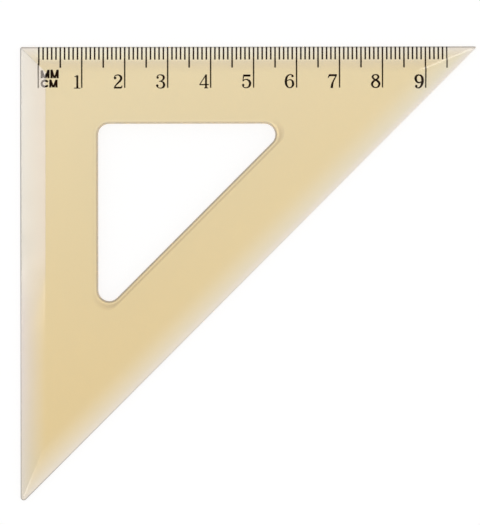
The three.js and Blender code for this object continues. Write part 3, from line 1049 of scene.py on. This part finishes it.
def paper_finish():
    """White paper: matt, plus a glow for rays that see it as a background. A ray sees it so when
    the largest of its three Light Path values is 1."""
    finish, tree = new_finish("white_paper")
    rays = add_node(tree, "ShaderNodeLightPath").outputs
    seen = rays["Is Camera Ray"]
    for kind in ("Is Glossy Ray", "Is Transmission Ray"):
        seen = add_node(
            tree, "ShaderNodeMath", {"operation": "MAXIMUM"}, in_order=(seen, rays[kind]),
        ).outputs["Value"]
    strength = add_node(
        tree, "ShaderNodeMapRange", Value=seen, To_Max=floor_glow,
    ).outputs["Result"]
    glow = add_node(
        tree, "ShaderNodeEmission", Color=linear("#ffffff"), Strength=strength,
    ).outputs["Emission"]
    matt = add_node(tree, "ShaderNodeBsdfDiffuse", Color=linear(paper_colour)).outputs["BSDF"]
    both = add_node(tree, "ShaderNodeAddShader", in_order=(glow, matt)).outputs["Shader"]
    add_node(tree, "ShaderNodeOutputMaterial", Surface=both)
    return finish


# %% The sheet of paper, a hair below the triangle
floor_gap = 0.05
floor_reach = 3000
reach = floor_reach * millimetre
level = -floor_gap * millimetre
floor_corners = [(-1, -1), (1, -1), (1, 1), (-1, 1)]
floor_mesh = bpy.data.meshes.new("paper")
floor_mesh.from_pydata([(x * reach, y * reach, level) for x, y in floor_corners], [], [(0, 1, 2, 3)])
floor = bpy.data.objects.new("paper", floor_mesh)
bpy.context.scene.collection.objects.link(floor)
floor.data.materials.append(paper_finish())
floor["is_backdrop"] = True
print("paper, metres wide:", 2 * reach)

# %% [markdown]
# The light
#
# Clear plastic has no colour of its own to be lit: it shows what lies behind it and what it
# mirrors. So besides the pale room there are three small soft boxes, as a photographer hangs white
# cards, and each is there for one reflection. A bevel turns the mirrored view by twice its own
# slope, so the camera sees in it a spot well to the side, on the plane where the cards hang. The
# first card stands there for the plain bevel, and gives its glare. The two narrow ones stand
# where the rounded mitres look, between two bevels, and draw the bright lines at the tips.


# %% Soft boxes
def soft_box(name, place, size, radiance, colour, turn=0):
    """An oblong lamp above the paper, facing down and turned by some degrees. Blender's power in
    watts is the radiance times the area times pi. The camera doesn't see the box itself."""
    data = bpy.data.lights.new(name, "AREA")
    data.shape = "RECTANGLE"
    data.size, data.size_y = (side * millimetre for side in size)
    data.energy = radiance * np.pi * data.size * data.size_y
    data.color = linear(colour)[:3]
    lamp = bpy.data.objects.new(name, data)
    lamp.location = Vector(place) * millimetre
    lamp.rotation_euler = (0, 0, np.radians(turn))
    lamp.visible_camera = False
    bpy.context.scene.collection.objects.link(lamp)
    print(name, "watts:", round(data.energy, 3))


# %% Three cards, each where its bevel or mitre looks
lamp_height = 900
mirrored_reach = lamp_height * np.tan(2 * np.arctan(bevel_slope))
print("a bevel mirrors a spot to its side by, mm:", mirrored_reach.round(1))
soft_box(
    "card_for_the_plain_bevel",
    place=(-582, 66, lamp_height), size=(155, 148), radiance=5.0, colour="#fff4ea",
)
soft_box(
    "card_for_the_far_mitre",
    place=(240, 147, lamp_height), size=(80, 400), radiance=4.0, colour="#fff8f0", turn=22.5,
)
soft_box(
    "card_for_the_lower_mitre",
    place=(-162, -276, lamp_height), size=(64, 400), radiance=4.0, colour="#fff8f0", turn=247.5,
)

# %% [markdown]
# The room itself is the world. It is bright near the horizon, like the walls of a white tent, and
# dim overhead, where a camera would stand, so the flats mirror little and stay clear.

# %% The world
horizon_strength = 0.9
overhead_strength = 0.06


def studio_world():
    """A soft pale room: its strength falls with the height of the ray, from the horizon's to that
    overhead, and is 1 for rays that come from the camera."""
    world = bpy.data.worlds.new("soft_room")
    world.use_nodes = True
    tree = world.node_tree
    tree.nodes.clear()
    up = add_node(tree, "ShaderNodeTexCoord").outputs["Generated"]
    height = add_node(tree, "ShaderNodeSeparateXYZ", Vector=up).outputs["Z"]
    room = add_node(
        tree, "ShaderNodeMapRange", Value=height, From_Min=0.0, From_Max=1.0,
        To_Min=horizon_strength, To_Max=overhead_strength,
    ).outputs["Result"]
    camera_ray = add_node(tree, "ShaderNodeLightPath").outputs["Is Camera Ray"]
    strength = add_node(
        tree, "ShaderNodeMath", {"operation": "MAXIMUM"}, in_order=(room, camera_ray),
    ).outputs["Value"]
    background = add_node(
        tree, "ShaderNodeBackground", Color=linear("#ffffff"), Strength=strength,
    ).outputs["Background"]
    add_node(tree, "ShaderNodeOutputWorld", Surface=background)
    return world


bpy.context.scene.world = studio_world()
bpy.context.scene.view_settings.view_transform = "Standard"
print("room, at the horizon and overhead:", horizon_strength, overhead_strength)

# %% [markdown]
#
# Finishing a part may not change its size. So the box of everything that is visible now is
# compared with the imported model's box, and the margins between them are printed.

# %% Compare both boxes and end
visual_low, visual_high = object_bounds()
margins = [*(visual_low - cad_low), *(cad_high - visual_high)]
print("inside the packed box by, mm:", [round(side / millimetre, 3) for side in margins])
